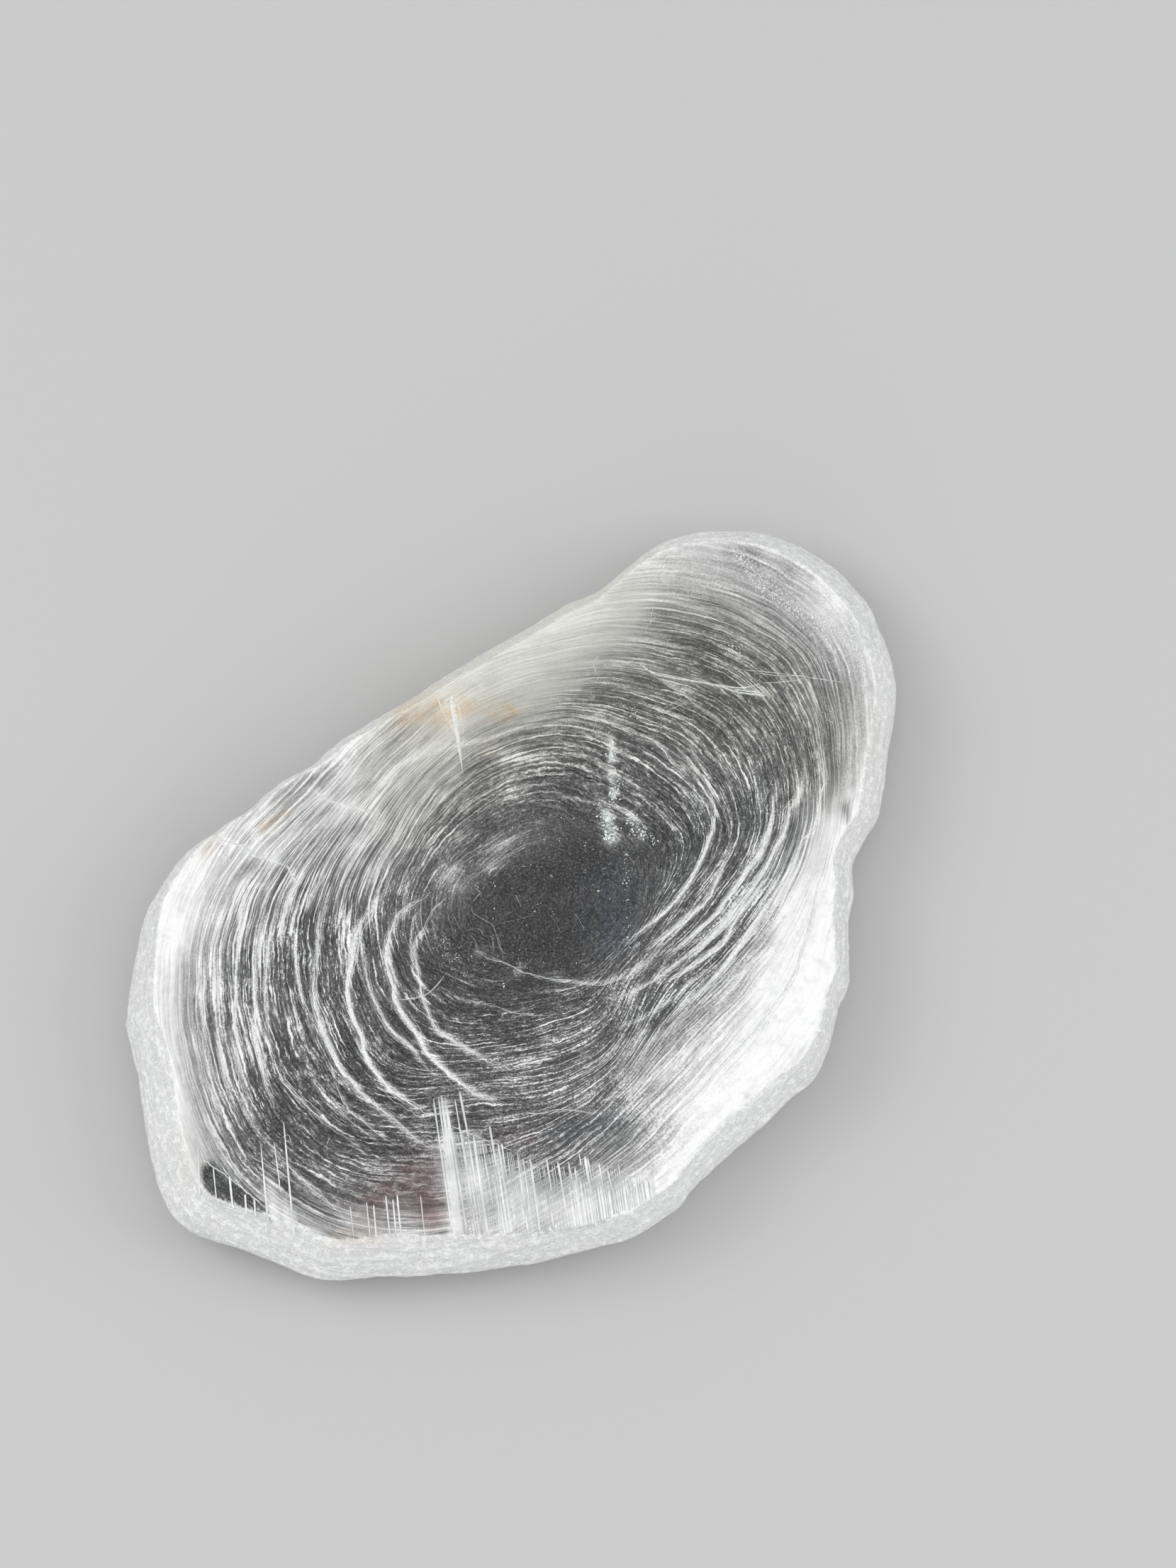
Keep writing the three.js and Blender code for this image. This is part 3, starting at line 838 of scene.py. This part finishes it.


# Bright bundles of growth lines, which in the left part also stand for painted reflection highlights: picture
# points / how wide the bundle is in pixels and how strong
ARCS_AND_HIGHLIGHTS = marks("""
631,1263 620,1276 609,1289 601,1310 588,1328 584,1343 588,1363 592,1384 596,1407 604,1430 616,1452
636,1466 660,1481 684,1495 710,1508 730,1523 / 8 0.55;
600,1275 583,1297 579,1335 581,1358 584,1376 590,1395 / 4 0.4;
770,1163 724,1181 690,1195 662,1210 637,1230 610,1260 / 9 0.4;
612,1258 580,1278 560,1294 551,1322 546,1348 549,1368 555,1389 559,1412 570,1432 588,1455 601,1481
621,1501 643,1521 667,1539 697,1553 725,1563 / 11 0.75;
560,1240 540,1262 519,1289 507,1307 500,1330 498,1350 493,1373 489,1396 493,1417 499,1437 509,1458
514,1481 524,1504 540,1524 558,1542 581,1557 616,1578 / 12 0.8;
520,1290 512,1333 516,1350 518,1379 524,1401 532,1419 542,1440 558,1458 578,1475 593,1496 609,1514
632,1524 / 8 0.5; 500,1270 489,1297 482,1322 482,1343 485,1363 / 5 0.55;
480,1240 462,1270 453,1297 451,1320 445,1348 443,1368 442,1391 443,1412 448,1430 453,1450 463,1470
471,1488 484,1511 499,1529 517,1549 540,1567 563,1585 590,1610 625,1632 / 10 0.7;
440,1250 420,1284 412,1305 416,1322 415,1343 420,1379 425,1404 438,1430 450,1460 / 7 0.5;
463,1493 479,1539 494,1565 517,1583 545,1604 580,1622 / 4 0.5;
433,1506 445,1529 463,1555 489,1575 512,1593 550,1620 / 4 0.45;
385,1480 397,1521 415,1542 433,1560 458,1580 486,1598 520,1620 / 6 0.5;
350,1230 340,1290 334,1350 332,1400 332,1450 338,1500 350,1550 370,1600 / 11 0.6;
385,1230 372,1280 364,1330 361,1380 362,1430 366,1480 378,1530 398,1580 / 11 0.65;
400,1240 388,1290 380,1330 376,1370 374,1410 378,1450 386,1490 / 8 0.5;
320,1250 310,1300 306,1360 306,1420 311,1480 322,1540 345,1600 / 10 0.4;
300,1260 290,1330 286,1400 288,1470 300,1540 325,1610 / 10 0.35;
430,1220 410,1262 400,1300 397,1340 / 8 0.5; 465,1225 445,1260 432,1290 / 8 0.45;
302,1410 310,1470 323,1519 340,1555 358,1584 392,1625 428,1662 470,1700 497,1727 / 7 0.4;
270,1400 275,1460 290,1530 315,1590 350,1640 390,1685 / 8 0.3;
921,1044 937,1059 948,1075 964,1088 975,1102 / 6 0.5;
944,1042 956,1054 968,1067 981,1082 989,1102 / 5 0.4;
960,1035 973,1050 983,1069 994,1084 998,1100 1003,1117 1008,1138 / 5 0.4;
998,1100 1003,1117 1008,1138 1009,1151 1006,1167 1000,1186 992,1207 981,1228 968,1251 953,1272 930,1293
905,1312 880,1335 / 8 0.8; 939,964 960,975 975,987 987,998 1002,1008 1020,1019 / 6 0.35;
780,1056 799,1063 826,1067 847,1079 864,1090 883,1104 899,1113 914,1125 / 4 0.35;
780,1126 799,1125 828,1130 857,1132 876,1142 890,1152 / 4 0.3;
604,1112 660,1093 716,1068 772,1056 800,1054 829,1068 / 4 0.3;
781,1017 829,1011 871,1020 913,1040 941,1062 960,1082 / 4 0.3;
542,1112 556,1085 570,1073 600,1066 632,1054 688,1042 744,1023 772,1011 / 7 0.4;
999,1038 1017,1073 1027,1095 1032,1117 1034,1142 / 6 0.2;
1033,1184 1031,1198 1021,1221 1015,1234 1006,1255 994,1273 974,1292 960,1303 935,1322 905,1345 / 8 0.7;
1098,1090 1096,1106 1092,1136 1090,1156 1084,1175 1077,1193 1072,1207 1061,1221 1050,1234 1036,1256
1024,1271 1015,1285 990,1308 960,1333 930,1352 / 9 0.85;
1045,900 1073,918 1094,943 1109,971 1122,1002 1130,1040 / 6 0.25;
1128,1030 1136,1081 1134,1101 1126,1127 1114,1141 1111,1156 1104,1179 1093,1198 1080,1225 1060,1255
1040,1280 1020,1305 990,1335 955,1362 / 9 0.85; 1129,900 1137,938 1147,977 1155,1015 / 5 0.2;
1150,1000 1157,1060 1160,1083 1163,1106 1158,1129 1155,1152 1148,1170 1134,1188 1115,1215 / 8 0.6;
1121,1225 1098,1255 1075,1289 1052,1324 1029,1354 1006,1381 983,1404 950,1430 / 11 0.8;
1084,1234 1056,1271 1036,1299 1020,1331 988,1354 960,1374 925,1390 / 9 0.75;
910,943 943,964 966,977 984,992 1010,1010 1025,1028 1040,1055 1048,1080 / 6 0.2;
900,1030 925,1045 950,1062 975,1085 985,1110 / 6 0.2;
1000,985 1030,1000 1055,1025 1070,1060 1078,1100 / 5 0.18; 1081,920 1112,948 1128,985 1140,1025 / 5 0.2;
976,1435 1005,1408 1036,1379 1075,1348 1115,1319 / 9 0.5;
953,1566 990,1532 1022,1496 1046,1473 1069,1449 1094,1415 1116,1379 1139,1310 1157,1240 / 10 0.5;
900,1480 940,1455 980,1420 1020,1380 1060,1335 1095,1290 / 9 0.45;
850,1410 890,1400 930,1378 965,1352 1000,1325 1035,1295 1065,1262 / 8 0.5;
830,1390 870,1378 905,1362 935,1340 / 7 0.35; 880,1540 930,1515 975,1478 1015,1440 1050,1400 / 8 0.35;
860,1450 900,1440 940,1415 975,1385 1005,1360 / 7 0.4; 800,1560 850,1552 900,1535 / 4 0.25;
636,1266 648,1252 663,1238 694,1220 724,1201 744,1191 775,1182 / 7 0.35;
663,1320 671,1330 675,1341 686,1350 702,1355 713,1359 727,1366 740,1372 767,1379 797,1383 830,1387
855,1386 881,1378 906,1368 926,1358 / 6 0.4;
600,1395 625,1401 664,1411 702,1421 728,1429 763,1432 800,1430 / 3 0.25;
745,1570 779,1568 804,1565 830,1568 855,1571 880,1567 / 3 0.3;
""")


def tapered(share, rise, least):
    """1 along the middle of a line, falling to the least at its ends."""
    return np.clip(rise * np.minimum(share, 1 - share) + least, 0, 1)


def growth_arcs_and_highlights(material):
    """Each arc has solid cores, fine lines that run beside them and frayed edges. In the left part the arcs
    are also painted reflection highlights.
    """
    random = np.random.default_rng(11)
    lines = Ribbons()
    dense = 200
    for points, bundle, strength in ARCS_AND_HIGHLIGHTS:
        px, py, run = open_curve(points, dense)
        cores = max(int(4 * strength - 0.9), 0)
        fine = int(run * strength * bundle / 150)
        frayed = int(run * strength * bundle / 110)
        for i in range(cores + fine + frayed):
            if i < cores:
                length = random.uniform(0.55, 0.95) * run
                across, slope, widest = bundle / 9, 1.2, bundle * strength * random.uniform(0.5, 0.85)
            elif i < cores + fine:
                length = random.uniform(40, 140)
                across, slope, widest = bundle / 3.2, 1.5, random.uniform(1.0, 2.4)
            else:
                length = random.uniform(8, 22)
                across, slope, widest = bundle / 4, 2.5, random.uniform(0.8, 1.6)
            length = min(length / run, 1)
            start = random.uniform(0, 1 - length)
            steps = max(int(run * length / 6), 5)
            share = np.linspace(0, 1, steps)
            places = (start + length * share) * (dense - 1)
            drift = random.normal(0, across) + random.normal(0, slope) * share
            along_x, along_y = (np.interp(places, range(dense), values) for values in (px, py))
            line_x, line_y = shifted(along_x, along_y, drift + random.normal(0, 0.6, steps))
            width = widest * PIXEL * tapered(share, 3.5, 0.1)
            rough = random.uniform(0.5, 1.3, steps)
            # No two tops lie at the same height, where the window is flat.
            height = random.uniform(0.016, 0.026)
            lines.add(*on_top(line_x, line_y), width * rough, height, 0.5 if i < cores else 0.0)
    return lines.piece("growth_arcs_and_highlights", material)


# Cleavage cracks seen edge on: upper end, lower end / how wide they look at each end in pixels
STREAKS = marks("""
612,1550 639,1738 / 3 3; 619,1547 645,1740 / 3 3; 623,1545 649,1740 / 5 4; 628,1547 653,1739 / 3 3;
631,1561 659,1734 / 3 3; 642,1549 659,1650 / 2 3; 649,1540 661,1602 / 4 3; 661,1602 681,1734 / 3 3;
652,1598 672,1734 / 2 3; 668,1600 688,1736 / 4 6; 680,1607 696,1700 / 2 2; 691,1587 701,1646 / 4 3;
699,1646 712,1734 / 2 3; 703,1612 722,1736 / 3 4; 708,1612 716,1664 / 3 1; 730,1625 745,1734 / 2 3;
738,1633 752,1730 / 2 2; 748,1633 762,1736 / 4 4; 771,1633 778,1678 / 3 3; 775,1690 781,1728 / 2 3;
787,1638 803,1730 / 4 3; 802,1638 812,1690 / 2 2; 811,1646 822,1728 / 3 2; 817,1626 820,1643 / 2 2;
825,1630 841,1728 / 5 4; 829,1632 836,1668 / 2 2; 845,1640 851,1676 / 3 2; 857,1650 872,1709 / 3 3;
884,1665 892,1698 / 2 2; 898,1662 905,1690 / 2 2; 912,1655 921,1682 / 2 2; 369,1614 381,1738 / 2 4;
388,1611 397,1680 / 2 2; 401,1582 416,1740 / 2 4; 280,1611 283,1684 / 2 3; 302,1646 307,1692 / 2 2;
325,1658 330,1703 / 4 3; 347,1683 349,1710 / 3 3; 360,1690 362,1714 / 3 3; 495,1700 500,1742 / 2 2;
518,1694 523,1742 / 2 2; 528,1698 532,1744 / 3 3; 545,1685 551,1742 / 2 3; 555,1690 560,1742 / 2 3;
561,1684 567,1742 / 3 3; 594,1685 600,1742 / 2 2;
""")
# A fringe of finer ones: points along its top and along its foot, its feet, its lean and its height
FRINGE_TOP = ([640, 692, 722, 750, 800, 850, 900, 940], [1590, 1610, 1622, 1634, 1640, 1636, 1652, 1640])
FRINGE_BOTTOM = ([640, 760, 800, 841, 871, 900, 940], [1740, 1738, 1733, 1728, 1712, 1700, 1682])
FRINGE_FEET = np.arange(655, 930, 2.6)
FRINGE_LEAN = 0.15
FRINGE_HEIGHT = 100
# Bright lines that run across the cleavage cracks: their ends / how wide they are in pixels
RUNGS = marks("""
755,1667 780,1663 / 2; 757,1681 781,1678 / 2; 710,1713 759,1722 / 3; 637,1587 692,1610 / 3;
692,1610 723,1622 / 2; 722,1636 752,1640 / 2; 640,1600 666,1604 / 1.5; 642,1646 668,1652 / 1.2;
726,1660 750,1663 / 1.2; 728,1684 754,1688 / 1.2; 786,1700 800,1702 / 1.2; 345,1622 420,1668 / 2;
287,1634 330,1664 / 3; 330,1664 374,1700 / 3; 297,1693 374,1719 / 2.5;
""")


def straight(ends, share):
    """Picture points at shares of the way from one end to the other."""
    (x0, y0), (x1, y1) = ends
    return x0 + (x1 - x0) * share, y0 + (y1 - y0) * share


# The blade that hangs from the milky upper edge and two slivers beside it: ends / how wide in pixels
BLADES = marks("""
636,978 653,1093 / 14; 614,978 635,1030 / 4; 645,990 656,1050 / 3;
""")


def hanging_blade(material):
    share = np.linspace(0, 1, 24)
    lines = Ribbons()
    for ends, widest in BLADES:
        width = widest * PIXEL * np.minimum(12 * share, 1) * (1 - share**1.6)
        lines.add(*on_top(*straight(ends, share)), width, 0.025, 0.4)
    return lines.piece("hanging_blade", material)


def cleavage_streaks(material):
    random = np.random.default_rng(7)
    lines = Ribbons()
    for ends, first, last in STREAKS:
        share = np.linspace(0, 1, 16)
        width = (first + (last - first) * share) * PIXEL * np.clip(12 * share + 0.5, 0, 1)
        rough = random.uniform(0.85, 1.15, 16)
        lines.add(*on_top(*straight(ends, share)), width * rough, random.uniform(0.03, 0.06), 0.7)
    for ends, width in RUNGS:
        share = np.linspace(0, 1, 12)
        px, py = straight(ends, share)
        place = on_top(px, py + random.normal(0, 0.7, 12))
        lines.add(*place, width * PIXEL * tapered(share, 6, 0.3), 0.025)
    return lines.piece("cleavage_streaks", material)


def cleavage_fringe(material):
    """Many fine, hazy cleavage cracks between the large ones."""
    random = np.random.default_rng(8)
    lines = Ribbons()
    for foot in FRINGE_FEET:
        low = np.interp(foot, *FRINGE_BOTTOM) + random.uniform(-4, 2)
        head = foot - FRINGE_LEAN * FRINGE_HEIGHT
        high = np.interp(head, *FRINGE_TOP) + random.uniform(0, 50) * random.uniform(0, 1)
        foot += random.uniform(-1.5, 1.5)
        share = np.linspace(0, 1, 12)
        x, y, z = on_top(foot - FRINGE_LEAN * (low - high) * (1 - share), high + (low - high) * share)
        first, last = random.uniform(0.8, 1.8), random.uniform(1.0, 2.8)
        width = (first + (last - first) * share) * PIXEL * random.uniform(0.8, 1.2, 12)
        lines.add(x, y, z, width, random.uniform(0.015, 0.025), 0.7)
    return lines.piece("cleavage_fringe", material)


# Fine cracks and scratches: picture points / a width in pixels
CRACKS = marks("""
555,1410 575,1409 592,1406 604,1401 616,1390 627,1376 / 3; 1046,944 1089,948 1136,954 1197,963 / 2.2;
1065,948 1103,953 1131,952 / 2; 1075,963 1096,962 1131,959 / 2;
900,934 924,950 971,959 1013,966 1046,970 1065,966 1075,963 / 4.5; 1013,966 1042,976 1084,981 / 5;
1035,972 1060,975 1080,978 / 4; 900,925 915,945 945,952 990,962 1030,972 / 2.2;
847,923 839,930 838,942 845,953 / 1.8; 1145,882 1153,908 1160,932 1166,955 / 2;
1108,806 1122,822 1138,841 / 1.4; 1136,834 1165,836 1197,837 / 1.6; 1131,839 1152,844 1174,849 / 1.8;
1145,889 1178,891 / 1.4; 1070,787 1074,794 1076,798 / 1.6; 928,797 935,785 947,775 / 2;
916,886 928,823 938,783 / 1.5; 909,891 917,878 926,867 / 1.5; 930,818 937,848 / 1.4;
1004,813 1008,832 1013,851 / 1.2; 975,842 978,830 981,820 / 1.4; 924,1007 944,995 964,983 / 1.3;
931,1007 952,998 973,988 / 1.3; 837,1030 841,1016 / 1.2; 1165,1003 1167,1014 1178,1020 / 1.6;
300,1181 310,1184 321,1210 330,1228 / 3; 312,1185 345,1196 354,1206 375,1212 402,1221 / 6.5;
340,1192 358,1203 380,1209 403,1219 / 2; 403,1219 408,1228 412,1236 418,1245 / 5;
390,1196 395,1208 403,1219 / 1.5; 403,1189 402,1204 404,1219 / 1.5; 397,1192 400,1205 403,1219 / 1.2;
350,1162 357,1172 364,1186 370,1194 / 3.5; 437,1113 452,1123 467,1131 494,1137 530,1149 / 6;
474,1128 500,1136 545,1152 / 2; 745,1569 760,1570 775,1567 / 3; 770,1567 790,1564 815,1566 842,1571 / 2;
398,1604 408,1600 412,1612 / 1.6; 462,1613 466,1603 / 2.2; 545,1661 552,1663 / 2.4; 528,1680 532,1671 / 2;
""")
WINDOW_CRACKS = marks("""
665,1272 667,1287 682,1297 694,1304 701,1321 704,1333 711,1344 719,1346 / 2;
652,1314 675,1310 682,1320 694,1322 698,1345 / 1.6; 663,1318 671,1328 675,1341 / 1.6;
700,1304 725,1298 755,1291 / 0.9; 667,1272 673,1265 679,1258 / 2.4; 727,1262 731,1270 735,1278 / 2;
807,1284 816,1295 820,1303 825,1312 / 1.5; 780,1295 785,1304 790,1316 / 1;
735,1371 733,1360 731,1349 / 1.5; 740,1363 746,1357 752,1351 / 1.8; 711,1355 706,1333 701,1315 / 1.2;
697,1345 694,1325 / 1.4; 648,1262 650,1275 651,1284 / 1.2; 641,1292 645,1303 650,1311 / 1;
""")
# The curve in the window on which short ticks stand
TICK_CURVE = picture_points("686,1350 702,1355 727,1366 740,1372 767,1379 797,1383 830,1387 870,1382")


def surface_cracks(name, cracks, material, tick_curve=None):
    """Fine raised cracks. Short ticks may stand on a curve."""
    lines = Ribbons()
    share = np.linspace(0, 1, 24)
    for points, width in cracks:
        px, py, _ = open_curve(points, 24)
        lines.add(*on_top(px, py), width * PIXEL * tapered(share, 6, 0.2), 0.03)
    random = np.random.default_rng(29)
    feet_x, feet_y, _ = open_curve(tick_curve, 60) if tick_curve else ([], [], 0)
    for foot_x, foot_y in zip(feet_x, feet_y):
        foot_y += random.uniform(-1, 3)
        tall = random.uniform(3, 9) * random.uniform(0.5, 1)
        lean = random.normal(0, 0.8)
        place = on_top(np.linspace(foot_x, foot_x - 1.5 + lean, 5), np.linspace(foot_y, foot_y - tall, 5))
        lines.add(*place, random.uniform(0.5, 1.1) * PIXEL * np.array([0.4, 1, 1, 0.8, 0.2]), 0.015)
    return lines.piece(name, material)


# Feathery white flaws: middle, size in pixels / how many flakes and their size in millimetres
FEATHERS = marks("""
862,1048 7,14 / 22 0.1; 863,1068 8,16 / 40 0.12; 860,1097 5,14 / 18 0.09; 865,1120 7,12 / 34 0.14;
874,1108 5,10 / 12 0.09; 842,1140 4,8 / 12 0.1; 856,1156 9,12 / 46 0.15; 866,1170 11,12 / 34 0.13;
859,1182 7,8 / 24 0.14; 892,1158 8,12 / 28 0.12; 903,1176 10,10 / 30 0.11; 922,1184 8,6 / 12 0.09;
888,1002 12,12 / 18 0.09; 1035,917 14,9 / 26 0.08; 883,1235 5,50 / 26 0.07; 885,1310 6,30 / 14 0.07;
626,1332 16,14 / 46 0.05; 640,1352 18,16 / 50 0.05; 656,1371 6,8 / 10 0.05; 673,1254 5,5 / 8 0.06;
985,1150 6,24 / 14 0.07; 757,1279 8,8 / 10 0.05; 778,1289 7,7 / 8 0.05; 1167,1010 8,14 / 10 0.06;
1095,1150 6,10 / 8 0.06; 1215,1010 18,20 / 26 0.06;
""")
# The pitted band across the right lobe: its line and how wide it is in pixels
PITTED_BAND = picture_points("1042,776 1065,811 1089,834 1112,853 1136,865 1160,879 1178,893 1207,900")
PITTED_TAIL = picture_points("1197,860 1206,885 1205,905 1218,930 1226,952")


FLAKE = ((-1, -1), (1, -0.4), (0.7, 1), (-0.6, 0.8))  # its corners, in shares of its length and width


def flakes(random, middle, spread, count, size):
    """The corners of flat, torn flakes that lie in the upper face."""
    corners = []
    px = middle[0] + random.normal(0, spread[0] / 2, int(count))
    py = middle[1] + random.normal(0, spread[1] / 2, int(count))
    x, y, z = on_top(px, py)
    directions, radii = seen_round(x, y)
    on_face = radii < np.interp(directions, *TOP_EDGE, period=TURN) - 4
    for i in np.nonzero(on_face)[0]:
        angle = random.uniform(0, TURN)
        length = random.uniform(0.4, 1.0) * size
        width = length * random.uniform(0.3, 0.8)
        over = z[i] + random.uniform(0.02, 0.05)
        for u, v in FLAKE:
            across = u * length * math.cos(angle) - v * width * math.sin(angle)
            along = u * length * math.sin(angle) + v * width * math.cos(angle)
            corners.append((x[i] + across, y[i] + along, over + random.uniform(-0.15, 0.15) * width))
    return corners


def flake_piece(name, groups, seed, material):
    random = np.random.default_rng(seed)
    corners = []
    for (middle, spread), count, size in groups:
        corners += flakes(random, middle, spread, count, size)
    quads = np.arange(len(corners)).reshape(-1, 4).tolist()
    return finished(name, np.array(corners), quads, material)


# Small specks, given as the feathery flaws are
SPECKS = marks("""
790,1250 170,150 / 46 0.06; 720,1350 120,60 / 20 0.06; 900,1100 220,160 / 36 0.06; 777,1237 2,2 / 3 0.08;
698,1250 2,1 / 2 0.07; 845,1257 2,2 / 3 0.08; 666,1348 2,2 / 3 0.07; 710,1389 2,4 / 4 0.1;
788,1184 3,3 / 4 0.06; 824,1192 3,4 / 4 0.07; 884,1206 3,3 / 4 0.08; 1040,1080 150,90 / 24 0.06;
500,1350 160,200 / 40 0.05; 760,1500 200,90 / 36 0.05;
""")


def pitted_groups():
    groups = []
    for curve, spread, size in ((PITTED_BAND, 12, 0.085), (PITTED_TAIL, 8, 0.07)):
        px, py, _ = open_curve(curve, 60)
        groups += [(((mx, my), (spread, spread)), 9, size) for mx, my in zip(px, py)]
    return groups


def plain_floor():
    bpy.ops.mesh.primitive_plane_add(size=6, location=(0, 0, -0.05 * MM))
    floor = bpy.context.object
    floor.name = "floor"
    n = Nodes("pale_floor")
    n.surface({"Base Color": (0.57, 0.57, 0.57, 1), "Roughness": 0.8})
    floor.data.materials.append(n.material)


def soft_light(name, location, size, power):
    light = bpy.data.lights.new(name, "AREA")
    light.size = size
    light.energy = power
    holder = bpy.data.objects.new(name, light)
    holder.location = location
    holder.rotation_euler = (-Vector(location)).to_track_quat("-Z", "Y").to_euler()
    bpy.context.scene.collection.objects.link(holder)


def studio():
    world = bpy.data.worlds.new("studio")
    world.use_nodes = True
    sky = world.node_tree.nodes["Background"].inputs
    sky["Color"].default_value = (0.995, 1.0, 1.0, 1)
    sky["Strength"].default_value = 0.76
    bpy.context.scene.world = world
    soft_light("key", (-0.25, 0.35, 0.45), 0.35, 0.9)
    soft_light("fill", (0.3, -0.3, 0.3), 0.3, 0.5)
    soft_light("low", (-0.26, -0.28, 0.12), 0.3, 0.2)
    bpy.context.scene.view_settings.view_transform = "Standard"


def camera():
    """Sees the picture upright, from its elevation, with the window's centre in its place."""
    target = Vector(in_part(np.float64(0), np.float64(0), np.float64(THICKNESS)).tolist())
    away_x, away_y = turned(0.0, 1.0)
    level = math.cos(VIEW_ELEVATION)
    forward = Vector((away_x * level, away_y * level, -math.sin(VIEW_ELEVATION)))
    right = Vector(turned(1.0, 0.0) + (0,))
    up = right.cross(forward)
    aim_x = (FRAME_WIDTH / 2 - WINDOW_CENTRE[0]) * PIXEL * MM
    aim_y = (WINDOW_CENTRE[1] - FRAME_HEIGHT / 2) * PIXEL * MM
    data = bpy.data.cameras.new("camera")
    data.sensor_width = 36  # spans the picture's longer side
    data.lens = data.sensor_width * CAMERA_DISTANCE / (FRAME_HEIGHT * PIXEL)
    data.clip_start = 0.01
    holder = bpy.data.objects.new("camera", data)
    holder.location = target + right * aim_x + up * aim_y - forward * CAMERA_DISTANCE * MM
    holder.rotation_euler = forward.to_track_quat("-Z", "Y").to_euler()
    bpy.context.scene.collection.objects.link(holder)
    bpy.context.scene.camera = holder


crystal = crystal_object()
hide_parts("selenite_crystal")
white = flaw("flaw_white", (0.66, 0.68, 0.67), (0.95, 0.955, 0.95), 0.14)
grey = flaw("flaw_grey", (0.22, 0.23, 0.23), (0.50, 0.51, 0.50))
feathery = flaw("flaw_feathery", (0.50, 0.58, 0.58), (0.93, 0.95, 0.95))
growth_arcs_and_highlights(white)
hanging_blade(flaw("flaw_milky", (0.66, 0.67, 0.62), (0.84, 0.85, 0.80)))
cleavage_streaks(flaw("flaw_soft", (0.66, 0.67, 0.67), (0.93, 0.94, 0.935), 2.5))
cleavage_fringe(flaw("flaw_hazy", (0.50, 0.51, 0.51), (0.78, 0.79, 0.78), 2.5))
surface_cracks("surface_cracks", CRACKS, flaw("flaw_pale", (0.60, 0.62, 0.61), (0.86, 0.87, 0.86)))
surface_cracks("window_cracks", WINDOW_CRACKS, grey, TICK_CURVE)
flake_piece("feather_flaws", FEATHERS, 17, feathery)
flake_piece("specks", SPECKS, 5, feathery)
flake_piece("pitted_band", pitted_groups(), 6, white)
plain_floor()
studio()
camera()
